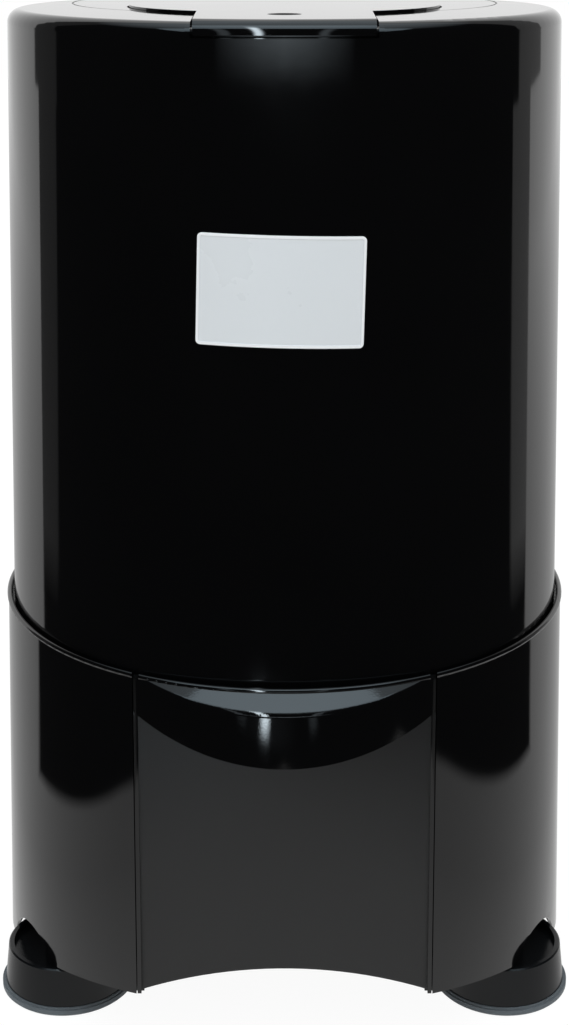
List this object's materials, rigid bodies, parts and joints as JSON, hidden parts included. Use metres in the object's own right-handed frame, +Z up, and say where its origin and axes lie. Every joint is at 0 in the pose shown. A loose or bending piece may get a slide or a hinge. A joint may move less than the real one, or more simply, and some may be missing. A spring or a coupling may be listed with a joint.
{
  "type": "spin dryer",
  "caption": "Tall round spin dryer: glossy casing in two halves on rubber-soled feet, hinged top lid with a front tongue, perforated drum inside, drain spout under a front hood.",
  "frame": {"origin": "on the floor under the drum's axis, midway between the hood's front and the rear foot's back", "axes": "+Z up along the drum's axis, -Y to the front where the hood is, +X to the right seen from the front"},
  "size_m": [0.3542, 0.3672, 0.5935],
  "materials": {
    "black_gloss": "high gloss moulded",
    "dark_satin": "satin moulded",
    "grey_plastic": "satin moulded",
    "grey_rubber": "matt",
    "black_rubber": "matt",
    "stainless": "brushed",
    "bright_steel": "plated",
    "cast_alloy": "as cast",
    "black_steel": "semi-gloss paint",
    "lamination": "stacked sheet",
    "copper": "varnished wire"
  },
  "bodies": {
    "casing": {"base_shell": "black_gloss", "bearing_housing": "cast_alloy", "brake_bracket": "black_steel", "brake_pin": "bright_steel", "capacitor": "grey_plastic", "capacitor_clip": "bright_steel", "carrier_plate": "black_steel", "casing_screws": "bright_steel", "cord_gland": "black_rubber", "drain_sleeve": "black_rubber", "drain_spout": "dark_satin", "floor_pan": "black_steel", "foot_cup_left": "dark_satin", "foot_cup_rear": "dark_satin", "foot_cup_right": "dark_satin", "foot_pad_left": "grey_rubber", "foot_pad_rear": "grey_rubber", "foot_pad_right": "grey_rubber", "front_panel": "black_gloss", "hinge_pins": "bright_steel", "lock_housing": "dark_satin", "lower_bearing": "bright_steel", "lower_end_shield": "cast_alloy", "motor_bolts": "bright_steel", "mount_studs": "bright_steel", "rod_cage": "dark_satin", "rod_spring": "bright_steel", "rubber_mount_left": "black_rubber", "rubber_mount_rear": "black_rubber", "rubber_mount_right": "black_rubber", "shaft_seal": "black_rubber", "start_switch": "dark_satin", "stator": "lamination", "tub": "grey_plastic", "tub_bolts": "bright_steel", "tub_boot": "black_rubber", "tub_cover": "grey_plastic", "upper_bearing": "bright_steel", "upper_end_shield": "cast_alloy", "upper_shell": "black_gloss", "windings": "copper"},
    "lid": {"lid": "black_gloss", "lid_liner": "grey_plastic", "lid_seal": "black_rubber"},
    "lid_button": {"lid_button": "dark_satin"},
    "spinner": {"drum": "stainless", "drum_hub": "cast_alloy", "hub_nut": "bright_steel", "balance_ring": "grey_plastic", "drive_shaft": "bright_steel", "rotor": "lamination", "cooling_fan": "grey_plastic", "brake_drum": "cast_alloy"},
    "lock_bolt": {"lock_bolt": "bright_steel"},
    "interlock_rod": {"interlock_rod": "bright_steel"},
    "brake_lever": {"brake_lever": "black_steel", "brake_shoe": "black_rubber"}
  },
  "joints": [
    {"name": "lid_hinge", "type": "hinge", "parent": "casing", "child": "lid", "pos_m": [0, 0.1015, 0.5865], "axis": [-1, 0, 0], "range_deg": [0, 95]},
    {"name": "drum_spin", "type": "hinge", "parent": "casing", "child": "spinner", "pos_m": [0, 0, 0.3], "axis": [0, 0, 1], "continuous": true},
    {"name": "button_press", "type": "slide", "parent": "lid", "child": "lid_button", "axis": [0, 0, -1], "range_m": [0, 0.003], "stiffness_N_per_m": 300},
    {"name": "lock_slide", "type": "slide", "parent": "casing", "child": "lock_bolt", "axis": [0, -1, 0], "range_m": [0, 0.008]},
    {"name": "rod_lift", "type": "slide", "parent": "casing", "child": "interlock_rod", "axis": [0, 0, 1], "range_m": [0, 0.004], "deforming": ["rod_spring"]},
    {"name": "brake_swing", "type": "hinge", "parent": "casing", "child": "brake_lever", "pos_m": [0, -0.076, 0.13], "axis": [-1, 0, 0], "range_deg": [0, 4.45]}
  ],
  "couplings": [
    {"joint": "rod_lift", "follows": "lid_hinge", "m_per_rad": 0.0024124},
    {"joint": "brake_swing", "follows": "lid_hinge", "ratio": 0.046302}
  ]
}
